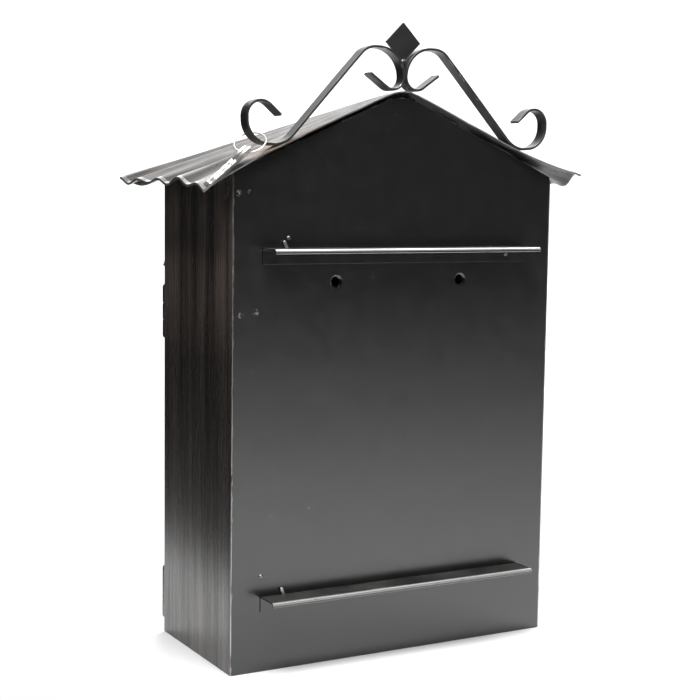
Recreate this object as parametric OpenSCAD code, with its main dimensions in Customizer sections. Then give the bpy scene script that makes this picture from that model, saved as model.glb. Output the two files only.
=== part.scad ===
// Wall mounted mailbox: sheet-steel box with a fluted half-hip roof and a scroll ornament.
// Millimetres, +Z up. The front faces -Y, the wall is on the +Y side.
// Modules are drawn above the box's base; place() moves them so that the row origin is the
// centre of the two wall-screw holes, on the back panel's rear face.

/* [Box] */
// Width of the box across its side panels
box_w = 280; // [240:1:340]
// Depth of the box from back panel to front frame
box_d = 128; // [100:1:160]
// Thickness of the sheet steel
sheet = 1; // [0.8:0.1:1.5]
// Height of the side panels
side_h = 368; // [320:1:420]
// Height of the back panel's gable where it is cut flat
gable_z = 427.5; // [390:0.5:480]
// Slope of the gable in degrees
gable_slope = 23.6; // [15:0.1:35]
// Length of the sheet's folded flanges
flange = 12; // [8:1:20]

/* [Wall screws] */
// Height of the two wall-screw holes
hole_z = 290; // [200:1:340]
// Distance between the two wall-screw holes
hole_pitch = 110; // [60:1:200]
// Diameter of each hole
hole_d = 6.5; // [5:0.1:9]
// Diameter of the dimple round each hole
dimple_d = 9.5; // [7:0.1:14]

/* [Stand-off rails] */
// Length of each rail
rail_len = 232; // [160:1:270]
// How far the rails hold the back panel off the wall
rail_depth = 22; // [10:1:35]
// Height of the upper rail's shelf
rail_up_z = 315.5; // [295:0.5:340]
// Height of the lower rail's shelf
rail_low_z = 57.5; // [40:0.5:120]
// Height of the rail's folded front lip
rail_lip = 3.5; // [2:0.5:8]

/* [Roof] */
// Half width of the roof across its side eaves
roof_x = 168; // [150:1:190]
// Front eave's distance behind the back panel
roof_y = 152; // [135:1:180]
// Height of the roof's peak
peak_z = 433; // [400:1:470]
// Height of the eaves
eave_z = 363.5; // [340:1:390]
// Height that the slopes point at above the rounded peak
crown_z = 436.5; // [410:0.5:480]
// Height of the flutes at the eave, either side of the mean
flute_amp = 2.6; // [0:0.1:6]
// Flutes along each side eave
flutes_side = 4; // [2:1:8]
// Flutes along the front eave
flutes_front = 9; // [4:1:16]
// How far the rear corners stand out towards the wall
rear_corner_y = 12; // [0:1:20]
// How far the +X rear corner hangs down
corner_droop = 7; // [0:0.5:12]
// How far the -X rear corner turns up
corner_lift = 9.5; // [0:0.5:12]

/* [Ornament] */
// Width of the scrolls' flat bar
bar_w = 10.5; // [6:0.5:16]
// Thickness of the scrolls' flat bar
bar_t = 2; // [1.5:0.1:4]
// Half diagonal of the diamond plate
diamond_r = 15; // [8:0.5:25]
// Height of the diamond plate's middle
diamond_z = 468.5; // [450:0.5:500]

// Angle the ornament leans towards the +X side
scroll_lean = 0.5; // [0:0.05:3]

/* [Letter flap] */
// Half width of the letter flap
flap_x = 138; // [100:1:140]
// Height of the flap's hinge rod
flap_z = 346; // [335:0.5:352]
// Height of the flap's lower lip
flap_low_z = 296; // [285:0.5:310]
// Height of the letter slot
slot_h = 32; // [20:1:40]

/* [Door] */
// Half width of the door
door_x = 131; // [110:1:133]
// Height of the door's lower edge
door_z0 = 8; // [4:1:20]
// Height of the door's upper edge
door_z1 = 285; // [240:1:290]
// Height of each hinge
hinge_h = 40; // [25:1:60]
// Lower end of the upper hinge
hinge_up_z = 240.5; // [180:0.5:244]
// Lower end of the lower hinge
hinge_low_z = 12.5; // [10:0.5:60]
// Outer radius of the hinge knuckles
knuckle_r = 2.4; // [2:0.1:3]
// Radius of the hinge pins
pin_r = 1.2; // [0.8:0.1:1.5]

/* [Lock] */
// Distance of the lock from the middle of the door
lock_x = 106; // [80:1:108]
// Height of the lock
lock_z = 150; // [80:1:220]
// Radius of the lock's threaded barrel
lock_r = 8; // [7:0.5:10]
// Radius of the turning plug
plug_r = 5.5; // [4:0.1:6]
// Length of the cam from the lock's axis
cam_len = 29; // [24:0.5:32]

/* [Keys] */
// Radius of the key ring at the middle of its wire
ring_r = 11.6; // [9:0.1:14]
// Radius of the ring's wire
ring_wire_r = 0.8; // [0.5:0.1:1.2]
// Overall length of a key
key_len = 43; // [30:0.5:55]

/* [Hidden] */
half = box_w / 2;
in_x = half - sheet;
open_x = 120;                      // door opening, half width
open_z0 = 16;
open_z1 = 276;
strike = 11;                       // depth of the fold round the door opening
slot_x = 116;
slot_z = 320;
fit = 0.05;                        // radial running clearance
front_y = -box_d;                  // outer face of the front frame
skin_y = front_y - 4;              // outer face of the door
hinge_x = half - 2.2;
hinge_y = front_y - 2.8;
flap_y = front_y - 3.5;
flap_r = 2.6;
lock_back = front_y + 12;          // rear end of the lock barrel
roof_apex = [-4, -3];
round_e = (crown_z - peak_z) / (crown_z - eave_z);
crest_y = 3;                       // the side flutes' first crest
pitch_side = (roof_y + crest_y) / flutes_side;
roof_rows = 13;
$fn = 48;

// ---- helpers --------------------------------------------------------------------------

module place() translate([0, 0, -hole_z]) children();

// A box given by its low and high corners.
module block(lo, hi) translate(lo) cube(hi - lo);

// A plate standing in the XZ plane, from y0 to y1, drawn as [x, z] outlines.
module upright(y0, y1) translate([0, y1, 0]) rotate([90, 0, 0]) linear_extrude(y1 - y0) children();

// A cylinder along Y from y0 to y1 round [x, z].
module rod_y(x, z, y0, y1, r, r2 = undef)
  translate([x, y0, z]) rotate([-90, 0, 0])
    cylinder(h = y1 - y0, r1 = r, r2 = r2 == undef ? r : r2);

function arc(cx, cz, r, a0, a1, n) =
  [for (i = [0:n]) let (a = a0 + (a1 - a0) * i / n) [cx + r * cos(a), cz + r * sin(a)]];

// Unit normals of a polyline, averaged at its corners.
function dirs(p) = [for (i = [0:len(p) - 1])
  let (a = p[max(i - 1, 0)], b = p[min(i + 1, len(p) - 1)], d = b - a) d / norm(d)];
function side_of(p, off) = let (t = dirs(p))
  [for (i = [0:len(p) - 1]) p[i] + off * [-t[i][1], t[i][0]]];
function strip(p, thick) = let (a = side_of(p, thick / 2), b = side_of(p, -thick / 2))
  concat(a, [for (i = [len(p) - 1:-1:0]) b[i]]);

// ---- box ------------------------------------------------------------------------------

function gable_x(z) = (gable_z - z) / tan(gable_slope) + 8.5;
eaves_in_panel = gable_z - (in_x - 8.5) * tan(gable_slope);

module back_panel() color("DimGray") place() {
  difference() {
    upright(-sheet, 0) polygon([[-in_x, 0], [in_x, 0], [in_x, eaves_in_panel], [8.5, gable_z],
      [-8.5, gable_z], [-in_x, eaves_in_panel]]);
    for (s = [-1, 1]) {
      rod_y(s * hole_pitch / 2, hole_z, -2, 1, hole_d / 2);
      rod_y(s * hole_pitch / 2, hole_z, -sheet / 2, 0.01, hole_d / 2, dimple_d / 2);
    }
  }
  for (s = [-1, 1])
    block([s > 0 ? in_x - sheet : -in_x, -flange - sheet, 2],
          [s > 0 ? in_x : -in_x + sheet, -sheet, side_h - 8]);
}

module side_panel(s) {
  x = s > 0 ? in_x : -half;
  block([x, front_y, 0], [x + sheet, 0, side_h]);
  // top and front flanges
  fx = s > 0 ? half - flange : -in_x;
  block([fx, front_y + flange + 3, side_h - sheet],
        [fx + flange - sheet, -flange - 3, side_h]);
  block([fx, front_y + sheet, flange + 2], [fx + flange - sheet, front_y + 2 * sheet, side_h - 4]);
}
module side_panel_left() color("#4a4340") place() side_panel(1);
module side_panel_right() color("#4a4340") place() side_panel(-1);

module bottom_panel() color("#3c3836") place() {
  block([-in_x, front_y + sheet, 0], [in_x, -sheet, sheet]);
  block([-in_x + 3, front_y + sheet, sheet], [in_x - 3, front_y + 2 * sheet, flange]);
  block([-in_x + 3, -2 * sheet, sheet], [in_x - 3, -sheet, flange]);
  for (s = [-1, 1])
    block([s > 0 ? in_x - sheet : -in_x, front_y + flange, sheet],
          [s > 0 ? in_x : -in_x + sheet, -flange - 4, flange]);
}

module front_frame() color("#4a4340") place() difference() {
  union() {
    block([-in_x, front_y, 0], [in_x, front_y + sheet, side_h - 1]);
    block([-open_x - sheet, front_y + sheet, open_z0 - sheet],
          [open_x + sheet, front_y + sheet + strike, open_z1 + sheet]);
    block([-slot_x - sheet, front_y + sheet, slot_z - slot_h / 2 - sheet],
          [slot_x + sheet, front_y + sheet + 6, slot_z + slot_h / 2 + sheet]);
  }
  block([-open_x, front_y - 1, open_z0], [open_x, front_y + 20, open_z1]);
  block([-slot_x, front_y - 1, slot_z - slot_h / 2], [slot_x, front_y + 20, slot_z + slot_h / 2]);
  for (z = hinge_zs, dz = rivet_dz) rod_y(rivet_x, z + dz, front_y - 1, front_y + 2, 1.5);
}

// ---- roof -----------------------------------------------------------------------------

// Columns of the fan, from the +X rear corner round the eaves: [x, y, wave, droop, lift].
function fold(d, reach) = exp(-pow(d / reach, 2));
cols = concat(
  [for (i = [0:33]) let (y = rear_corner_y - (rear_corner_y + roof_y) * i / 34)
    [roof_x, y, cos(360 * (y - crest_y) / pitch_side), fold(rear_corner_y - y, 16), 0]],
  [for (i = [0:72]) [roof_x - 2 * roof_x * i / 72, -roof_y, cos(360 * flutes_front * i / 72), 0, 0]],
  [for (i = [33:-1:0]) let (y = rear_corner_y - (rear_corner_y + roof_y) * i / 34)
    [-roof_x + 7 * fold(rear_corner_y - y, 20), y, cos(360 * (y - crest_y) / pitch_side), 0,
     fold(rear_corner_y - y, 34)]]);

function roof_pt(c, t) = [roof_apex[0] + (c[0] - roof_apex[0]) * t, roof_apex[1] + (c[1] - roof_apex[1]) * t,
  crown_z - (crown_z - eave_z) * sqrt(t * t + round_e * round_e)
  + pow(t, 2.2) * flute_amp * c[2] - corner_droop * c[3] * pow(t, 4) + corner_lift * c[4] * pow(t, 5)];

// Index of the point in row j and column i; point 0 is the peak.
function at(j, i) = 1 + j * len(cols) + i;

module roof() color("#77736f") place() {
  nc = len(cols);
  layer = roof_rows * nc + 1;
  rows = [for (j = [1:roof_rows]) j / roof_rows];
  top = concat([[roof_apex[0], roof_apex[1], peak_z]], [for (t = rows) for (c = cols) roof_pt(c, t)]);
  points = concat(top, [for (p = top) p - [0, 0, sheet]]);
  fan = [for (i = [0:nc - 2]) [0, at(0, i + 1), at(0, i)]];
  skin = [for (j = [0:roof_rows - 2]) for (i = [0:nc - 2]) each
    [[at(j, i), at(j, i + 1), at(j + 1, i + 1)], [at(j, i), at(j + 1, i + 1), at(j + 1, i)]]];
  upper = concat(fan, skin);
  lower = [for (f = upper) [layer + f[2], layer + f[1], layer + f[0]]];
  rim = concat([0], [for (j = [0:roof_rows - 1]) at(j, 0)],
    [for (i = [1:nc - 1]) at(roof_rows - 1, i)], [for (j = [roof_rows - 2:-1:0]) at(j, nc - 1)]);
  nr = len(rim);
  wall = [for (k = [0:nr - 1]) let (a = rim[k], b = rim[(k + 1) % nr]) each
    [[a, b, layer + b], [a, layer + b, layer + a]]];
  polyhedron(points, concat([for (f = upper) [f[2], f[1], f[0]]],
    [for (f = lower) [f[2], f[1], f[0]]], [for (f = wall) [f[2], f[1], f[0]]]));
}

// Four welded tabs carry the roof on the side panels, and a fifth holds its peak.
module roof_tabs() color("#3c3836") place() {
  for (s = [-1, 1], y = [-42, -100]) {
    x = s > 0 ? 131 : -132;
    top = s > 0 ? 375.7 : 376.5;
    block([x, y - 9, side_h], [x + 1, y + 9, top]);
    translate([s * 131.5, y - 9, top - 0.3]) rotate([0, s * 23, 0])
      translate([s > 0 ? 0 : -10, 0, 0]) cube([10, 18, 1]);
  }
  block([-12, -2 * sheet, 410], [12, -sheet, 427]);
  block([-11, -8, 426], [3, -sheet, 427]);
  block([-10, -8, 427], [2, -7, 431.3]);
}

// ---- ornament -------------------------------------------------------------------------

// Middle line of the +X scroll, from its outer tip to its inner tip, in [x, z].
scroll_line = concat([[103.7, 411.9]],
  arc(119.5, 411, 11, 131, 0, 14), arc(113, 408.7, 17.5, 0, -90, 10),
  arc(110.2, 412.9, 22, -92, -136.5, 5), arc(25.5, 448.2, 16, 42.8, 88, 5),
  arc(22.6, 442.6, 21.6, 92, 180, 11), arc(10.4, 442.6, 9.4, 184, 305, 12), [[29.6, 444.5]]);

module scroll() upright(-bar_w / 2, bar_w / 2) polygon(strip(scroll_line, bar_t));
module lean() translate([0.8, 0, 440]) rotate([0, scroll_lean, 0]) translate([0, 0, -440]) children();
module scroll_left() color("#2b2a2a") place() lean() scroll();
module scroll_right() color("#2b2a2a") place() lean() mirror([1, 0, 0]) scroll();

module finial_diamond() color("#262525") place()
  upright(-2.2, 0) polygon([[0, diamond_z + diamond_r], [diamond_r, diamond_z],
    [0, diamond_z - diamond_r], [-diamond_r, diamond_z]]);

module finial_rivet() color("#2b2a2a") place() {
  rod_y(0, diamond_z - diamond_r, -4, 0.6, 2.9);
  rod_y(0, diamond_z - diamond_r, 0.6, 1.6, 2.9, 1.5);
}

// ---- stand-off rails ------------------------------------------------------------------

module rail(z) {
  hl = rail_len / 2;
  block([-hl, 0, z - sheet], [hl, rail_depth, z]);
  block([-hl, rail_depth - sheet, z - rail_lip], [hl, rail_depth, z]);
  block([-hl, 0, z - flange], [hl, sheet, z]);
  translate([96, sheet + 0.5, z - 0.2]) rotate([0, 25, 0]) cube([2, sheet, 6.5]);
}
module rail_upper() color("#3a3837") place() rail(rail_up_z);
module rail_lower() color("#3a3837") place() rail(rail_low_z);

module rail_rivets() color("#8a8886") place()
  for (p = [[95, rail_up_z + 7, 0], [-97, rail_up_z - 6, sheet], [115.5, rail_low_z + 15, 0]])
    rod_y(p[0], p[1], p[2], p[2] + 1, 1.9, 1.2);

// ---- letter flap ----------------------------------------------------------------------

module rod_x(x0, x1, y, z, r) translate([x0, y, z]) rotate([0, 90, 0]) cylinder(h = x1 - x0, r = r);

module flap_brackets() color("#3c3836") place() for (s = [-1, 1]) difference() {
  union() {
    block([s > 0 ? 126.5 : -128, front_y - 6.2, flap_z - 3.3],
          [s > 0 ? 128 : -126.5, front_y, flap_z + 3.3]);
    block([s > 0 ? 126.5 : -135, front_y - sheet, flap_z - 3.8],
          [s > 0 ? 135 : -126.5, front_y, flap_z + 3.8]);
  }
  rod_x(-136, 136, flap_y, flap_z, pin_r - 0.03);
}

module flap_rod() color("Silver") place() {
  rod_x(-129.5, 129.5, flap_y, flap_z, pin_r);
  for (s = [-1, 1]) rod_x(s > 0 ? 128.2 : -129.6, s > 0 ? 129.6 : -128.2, flap_y, flap_z, 2);
}

module letter_flap() color("#4a4340") place() {
  y1 = flap_y + flap_r;
  difference() {
    union() {
      rod_x(-124, 124, flap_y, flap_z, flap_r);
      block([-124, y1 - sheet, flap_z - 5.2], [124, y1, flap_z]);
    }
    rod_x(-125, 125, flap_y, flap_z, pin_r + fit);
  }
  block([-flap_x, y1 - sheet, flap_low_z + 7], [flap_x, y1, flap_z - 5]);
  translate([-flap_x, 0, 0]) rotate([90, 0, 90]) linear_extrude(2 * flap_x)
    polygon([[y1, flap_low_z + 7.5], [y1 - sheet, flap_low_z + 7.5],
      [y1 - 7.2, flap_low_z + 0.7], [y1 - 6.5, flap_low_z], [y1, flap_low_z + 6.6]]);
}

// ---- door and hinges ------------------------------------------------------------------

hinge_zs = [hinge_low_z, hinge_up_z];
third = hinge_h / 3;
rivet_x = 124.5;
rivet_dz = [8, hinge_h - 8];

module door_panel() color("#4a4340") place() difference() {
  union() {
    block([-door_x, skin_y, door_z0], [door_x, skin_y + sheet, door_z1]);
    for (z = [door_z0, door_z1 - sheet])
      block([-door_x, skin_y, z], [door_x, front_y - 1.5, z + sheet]);
    for (x = [-door_x, door_x - sheet])
      block([x, skin_y, door_z0], [x + sheet, front_y - 1.5, door_z1]);
  }
  for (z = hinge_zs)
    block([door_x - 5, skin_y + sheet, z - 1], [door_x + 1, front_y, z + hinge_h + 1]);
  rod_y(-lock_x, lock_z, skin_y - 1, front_y, lock_r + 0.3);
  for (z = hinge_zs, dz = rivet_dz) rod_y(rivet_x, z + dz, skin_y - 1, front_y, 1.5);
}

module knuckle(z0, z1, r) translate([hinge_x, hinge_y, z0]) cylinder(h = z1 - z0, r = r);

module hinge_frame_leaf(z) difference() {
  union() {
    block([open_x + 1.5, front_y - sheet, z], [hinge_x - 3.4, front_y, z + hinge_h]);
    for (k = [0, 2]) {
      block([hinge_x - 4, front_y - sheet, z + k * third],
            [hinge_x, front_y, z + (k + 1) * third - 0.2 * k]);
      knuckle(z + k * third + 0.1 * k, z + (k + 1) * third - 0.2 + 0.1 * k, knuckle_r);
    }
  }
  knuckle(z - 1, z + hinge_h + 1, pin_r - 0.03);
  for (dz = rivet_dz) rod_y(rivet_x, z + dz, front_y - 2, front_y + 2, 1.5);
  block([hinge_x - 3.4, front_y - 8, z + third - 0.2], [hinge_x + 5, front_y + 1, z + 2 * third + 0.2]);
}
module hinge_frame_leaf_upper() color("#5a5856") place() hinge_frame_leaf(hinge_up_z);
module hinge_frame_leaf_lower() color("#5a5856") place() hinge_frame_leaf(hinge_low_z);

module hinge_door_leaf(z) difference() {
  union() {
    block([open_x - 4, skin_y + sheet, z], [hinge_x - 3.4, skin_y + 2 * sheet, z + hinge_h]);
    block([hinge_x - 4, skin_y + sheet, z + third + 0.2],
          [hinge_x - 1.7, skin_y + 2 * sheet, z + 2 * third - 0.2]);
    knuckle(z + third + 0.2, z + 2 * third - 0.2, knuckle_r);
  }
  knuckle(z - 1, z + hinge_h + 1, pin_r + fit);
  for (dz = rivet_dz) rod_y(rivet_x, z + dz, skin_y, front_y, 1.5);
}
module hinge_door_leaf_upper() color("#5a5856") place() hinge_door_leaf(hinge_up_z);
module hinge_door_leaf_lower() color("#5a5856") place() hinge_door_leaf(hinge_low_z);

module hinge_pins() color("Silver") place() for (z = hinge_zs) {
  knuckle(z - 0.3, z + hinge_h + 0.3, pin_r);
  for (e = [z - 1.2, z + hinge_h]) knuckle(e, e + 1.2, 1.9);
}

module hinge_rivets_frame() color("Silver") place() for (z = hinge_zs, dz = rivet_dz) {
  rod_y(rivet_x, z + dz, front_y - sheet, front_y + sheet, 1.5);
  rod_y(rivet_x, z + dz, front_y + sheet, front_y + 2.2, 2.8, 1.6);
}
module hinge_rivets_door() color("Silver") place() for (z = hinge_zs, dz = rivet_dz) {
  rod_y(rivet_x, z + dz, skin_y, skin_y + 2 * sheet, 1.5);
  rod_y(rivet_x, z + dz, skin_y - 1.2, skin_y, 1.6, 2.8);
}

// ---- lock -----------------------------------------------------------------------------

module lock_barrel() color("Silver") place() difference() {
  union() {
    rod_y(-lock_x, lock_z, skin_y - 2.2, skin_y, 9.6, 10.5);
    rod_y(-lock_x, lock_z, skin_y, lock_back, lock_r);
  }
  rod_y(-lock_x, lock_z, skin_y - 3, lock_back + 1, plug_r + fit);
  rod_y(-lock_x, lock_z, skin_y - 3, skin_y - 1, plug_r + 1 + fit);
}

module lock_nut() color("Silver") place()
  upright(skin_y + sheet, skin_y + 5.5) difference() {
    polygon([for (a = [0:60:300]) [-lock_x + 12 * cos(a), lock_z + 12 * sin(a)]]);
    translate([-lock_x, lock_z]) circle(r = lock_r - 0.05);
  }

module lock_plug() color("Gainsboro") place() difference() {
  union() {
    rod_y(-lock_x, lock_z, skin_y - 2.2, skin_y - 1, plug_r + 1);
    rod_y(-lock_x, lock_z, skin_y - 1, lock_back + 0.4, plug_r);
    block([-lock_x - 3, lock_back + 0.4, lock_z - 3], [-lock_x + 3, lock_back + 2, lock_z + 3]);
  }
  block([-lock_x - 0.8, skin_y - 3, lock_z - 4], [-lock_x + 0.8, skin_y + 9, lock_z + 4]);
  rod_y(-lock_x, lock_z, lock_back - 5, lock_back + 3, 1.6);
}

// The cam stands upright when the door is unlocked and turns towards -X to lock.
module lock_cam() color("Silver") place() upright(lock_back + 0.5, lock_back + 2)
  translate([-lock_x, lock_z]) difference() {
    union() {
      circle(r = 8);
      translate([-6, 0]) square([12, cam_len - 4]);
      translate([-6, cam_len - 4]) polygon([[0, 0], [12, 0], [9, 4], [3, 4]]);
    }
    square(6, center = true);
  }

module cam_screw() color("Gainsboro") place() {
  rod_y(-lock_x, lock_z, lock_back - 5, lock_back + 2, 1.6);
  difference() {
    rod_y(-lock_x, lock_z, lock_back + 2, lock_back + 4.4, 4.6, 3.4);
    block([-lock_x - 4, lock_back + 3.4, lock_z - 0.5], [-lock_x + 4, lock_back + 5, lock_z + 0.5]);
  }
}

// ---- keys -----------------------------------------------------------------------------

ring_at = [128.07, 2.99, 390.75];
ring_turn = [0, 38.65, 46.4];

module key_ring() color("Gainsboro") place()
  translate(ring_at) rotate(ring_turn) rotate_extrude() translate([ring_r, 0]) circle(r = ring_wire_r);

// A key lying along +X from the middle of its hole, flat in XY.
module key_blank() difference() {
  translate([0, 0, -0.8]) linear_extrude(1.6) difference() {
    union() {
      translate([4.2, 0]) circle(r = 9.2);
      translate([12.8, -3.2]) square([4.7, 6.4]);
      polygon([[13, -2.6], [key_len - 3, -2.6], [key_len, -0.3], [key_len - 2, 2.4],
        [key_len - 5, 0.9], [key_len - 8, 2.4], [key_len - 11.5, 0.6], [key_len - 14.5, 1.6],
        [key_len - 18, 0.9], [key_len - 21, 2.4], [13, 2.4]]);
    }
    circle(r = 3);
  }
  translate([18, -1.3, 0.4]) cube([key_len, 0.8, 1]);
}

// Sets a key's hole at p, its blade along k and its flat face along n.
module set_key(p, k, n) {
  x = k / norm(k);
  y = cross(n, x) / norm(cross(n, x));
  z = cross(x, y);
  multmatrix([[x[0], y[0], z[0], p[0]], [x[1], y[1], z[1], p[1]],
    [x[2], y[2], z[2], p[2]], [0, 0, 0, 1]]) children();
}

module key_upper() color("Silver") place()
  set_key([136.28, 7.24, 383.75], [0.792, 0.274, -0.545], [0.608, -0.424, 0.671]) key_blank();
module key_lower() color("Silver") place()
  set_key([134.33, 9.54, 383.51], [0.795, 0.22, -0.566], [0.602, -0.4, 0.691]) key_blank();

back_panel();
side_panel_left();
side_panel_right();
bottom_panel();
front_frame();
roof();
roof_tabs();
scroll_left();
scroll_right();
finial_diamond();
finial_rivet();
rail_upper();
rail_lower();
rail_rivets();
flap_brackets();
flap_rod();
letter_flap();
hinge_frame_leaf_upper();
hinge_frame_leaf_lower();
hinge_door_leaf_upper();
hinge_door_leaf_lower();
hinge_pins();
hinge_rivets_frame();
hinge_rivets_door();
door_panel();
lock_barrel();
lock_nut();
lock_plug();
lock_cam();
cam_screw();
key_ring();
key_upper();
key_lower();
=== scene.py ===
import math

import bmesh
import bpy
from bpy.props import FloatProperty, FloatVectorProperty, PointerProperty
from mathutils import Matrix, Vector, noise


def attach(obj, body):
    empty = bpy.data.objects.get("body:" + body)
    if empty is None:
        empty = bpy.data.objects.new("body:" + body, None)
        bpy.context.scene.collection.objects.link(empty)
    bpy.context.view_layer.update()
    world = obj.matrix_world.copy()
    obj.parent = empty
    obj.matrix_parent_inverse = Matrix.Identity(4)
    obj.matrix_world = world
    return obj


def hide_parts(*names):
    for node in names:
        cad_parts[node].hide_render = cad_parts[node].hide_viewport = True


bl_info = {
    "name": "Wall Mailbox",
    "version": (1, 0, 0),
    "blender": (4, 5, 0),
    "location": "View3D > Sidebar > Mailbox",
    "description": "Builds the finished look of a wall mounted mailbox round its packed frame",
    "category": "Object",
}

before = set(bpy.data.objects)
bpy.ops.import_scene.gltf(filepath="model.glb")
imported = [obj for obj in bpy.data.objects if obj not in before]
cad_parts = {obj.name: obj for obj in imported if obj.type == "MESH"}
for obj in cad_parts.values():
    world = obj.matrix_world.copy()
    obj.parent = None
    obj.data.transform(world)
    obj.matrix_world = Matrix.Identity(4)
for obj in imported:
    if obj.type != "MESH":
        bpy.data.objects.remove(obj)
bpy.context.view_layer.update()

MM = 0.001

# millimetres, with heights taken from the foot of the box
HOLE_X = 55.0  # the wall-screw holes stand this far to either side
HOLE_Z = 290.0  # and this high
HALF = 140.0  # half the box's width
SHEET = 1.0  # thickness of the steel sheet
GABLE_Z = 427.5  # top of the gable
GABLE_HALF = 8.5  # half width of the gable's flat top
GABLE_SLOPE = math.tan(math.radians(23.6))
RAIL_UPPER_Z = 315.5
RAIL_LOWER_Z = 57.5

# edge rounding of the fittings, in metres
TINY_EDGE = 0.0001
SMALL_EDGE = 0.0002
MEDIUM_EDGE = 0.0003
DOOR_EDGE = 0.0005

# tones that show where a finish is worn, scuffed or dusty, a beige patch, and painted highlights
# on a pale band and on near-white bare edges
SCUFFED_BLACK = (0.22, 0.215, 0.21)
SCUFFED_BROWN = (0.20, 0.18, 0.17)
SPOT_ON_BLACK = (0.30, 0.29, 0.28)
SPOT_ON_BROWN = (0.34, 0.33, 0.32)
RUBBED_ENAMEL = (0.24, 0.225, 0.215)
# beige tone of a patch on the roof near its rear edge
BEIGE_ON_ENAMEL = (0.34, 0.235, 0.165)
# painted highlight: the pale band on the panels under the eaves
PAINTED_HIGHLIGHT_BROWN = (0.27, 0.21, 0.182)
# bare tone of the roof's worn rim and crests, near white to paint the highlight on the hem
WORN_ROOF_EDGE_AND_HIGHLIGHT = (0.82, 0.81, 0.80)
# bare tone of the rails' worn edges and ears, near white to paint their highlights
WORN_RAIL_EDGE_AND_HIGHLIGHT = (0.93, 0.93, 0.92)
DUST = (0.42, 0.40, 0.37)

# the camera, in metres
CAMERA_AT = (0.58811, 0.97233, 0.06851)
CAMERA_RIGHT = (-0.87269, 0.48808, 0.01380)
CAMERA_UP = (-0.04032, -0.10018, 0.99415)
CAMERA_LENS = 76.66  # the lens and the sensor are in millimetres
SENSOR_WIDTH = 36.0

# the stage, in metres
FLOOR_X = (-4.0, 0.262)  # it ends close to the box, so that the near side stays dark
FLOOR_Y = 2.0
BACKDROP_Y = -2.6
BACKDROP_TOP = 4.0
BACKDROP_BEND = 0.6
DIM_ROOM = 0.03  # strength of the room's light on the object


def at(x, y, z):
    """A point given in millimetres over the foot of the box, in the row frame's metres."""
    return Vector((x, y, z - HOLE_Z)) * MM


# ---- settings ---------------------------------------------------------------------------


class MailboxSizes(bpy.types.PropertyGroup):
    """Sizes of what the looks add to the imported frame"""

    fold: FloatProperty(
        name="Fold rounding", description="Radius of the folded and cut sheet edges",
        default=0.00035, min=0.0, unit="LENGTH")
    hem: FloatProperty(
        name="Roof hem", description="Thickness of the roof's folded rim",
        default=0.0018, min=0.001, unit="LENGTH")
    dents: FloatProperty(
        name="Roof dents", description="Depth of the unevenness beaten into the roof",
        default=0.0009, min=0.0, unit="LENGTH")
    bar_width: FloatProperty(
        name="Bar width", description="Width of the scrolls' flat bar",
        default=0.0105, min=0.004, unit="LENGTH")
    bar_thickness: FloatProperty(
        name="Bar thickness", description="Thickness of the scrolls' flat bar",
        default=0.002, min=0.001, unit="LENGTH")
    key_ring_radius: FloatProperty(
        name="Key ring radius", description="Radius of the key ring's wire line",
        default=0.0116, min=0.005, unit="LENGTH")


class MailboxColours(bpy.types.PropertyGroup):
    """Base colours of the finishes"""

    satin_black: FloatVectorProperty(
        name="Satin black", description="Powder coat of the back panel and rails",
        subtype="COLOR", size=3, min=0, max=1, default=(0.0055, 0.0055, 0.0056))
    brushed_dark: FloatVectorProperty(
        name="Brushed brown, dark", description="Dark streaks of the side panels' paint",
        subtype="COLOR", size=3, min=0, max=1, default=(0.010, 0.008, 0.007))
    brushed_light: FloatVectorProperty(
        name="Brushed brown, light", description="Light streaks of the side panels' paint",
        subtype="COLOR", size=3, min=0, max=1, default=(0.060, 0.046, 0.040))
    roof_enamel: FloatVectorProperty(
        name="Roof enamel", description="Glossy enamel of the fluted roof",
        subtype="COLOR", size=3, min=0, max=1, default=(0.030, 0.027, 0.026))
    black_iron: FloatVectorProperty(
        name="Black iron", description="Paint of the scroll ornament",
        subtype="COLOR", size=3, min=0, max=1, default=(0.012, 0.012, 0.012))
    bare_steel: FloatVectorProperty(
        name="Bare steel", description="Metal that shows where paint is worn off",
        subtype="COLOR", size=3, min=0, max=1, default=(0.52, 0.51, 0.50))
    zinc: FloatVectorProperty(
        name="Zinc", description="Plating of the hinges, pins and lock nut",
        subtype="COLOR", size=3, min=0, max=1, default=(0.24, 0.24, 0.25))
    nickel: FloatVectorProperty(
        name="Nickel", description="Plating of the keys, ring and lock face",
        subtype="COLOR", size=3, min=0, max=1, default=(0.86, 0.85, 0.82))
    floor: FloatVectorProperty(
        name="Floor", description="Pale floor and backdrop",
        subtype="COLOR", size=3, min=0, max=1, default=(0.86, 0.86, 0.86))


def sizes():
    return bpy.context.scene.mailbox_sizes


def colours():
    return bpy.context.scene.mailbox_colours


# ---- node helpers -----------------------------------------------------------------------


def feed(tree, source, socket):
    """Links a (node, output) pair to a socket."""
    tree.links.new(source[0].outputs[source[1]], socket)


def put(tree, kind, feeds=None, **settings):
    """Adds a node. feeds gives its inputs: values, or (node, output) pairs to link."""
    node = tree.nodes.new(kind)
    for name, value in settings.items():
        setattr(node, name, value)
    for key, value in (feeds or {}).items():
        socket = node.inputs[key]
        if isinstance(value, tuple) and isinstance(value[0], bpy.types.Node):
            feed(tree, value, socket)
        else:
            socket.default_value = value
    return node


def calc(tree, operation, a, b, clamp=False):
    node = put(tree, "ShaderNodeMath", {0: a, 1: b}, operation=operation, use_clamp=clamp)
    return node, 0


def times(tree, a, b, clamp=False):
    return calc(tree, "MULTIPLY", a, b, clamp)


def plus(tree, a, b, clamp=False):
    return calc(tree, "ADD", a, b, clamp)


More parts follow.
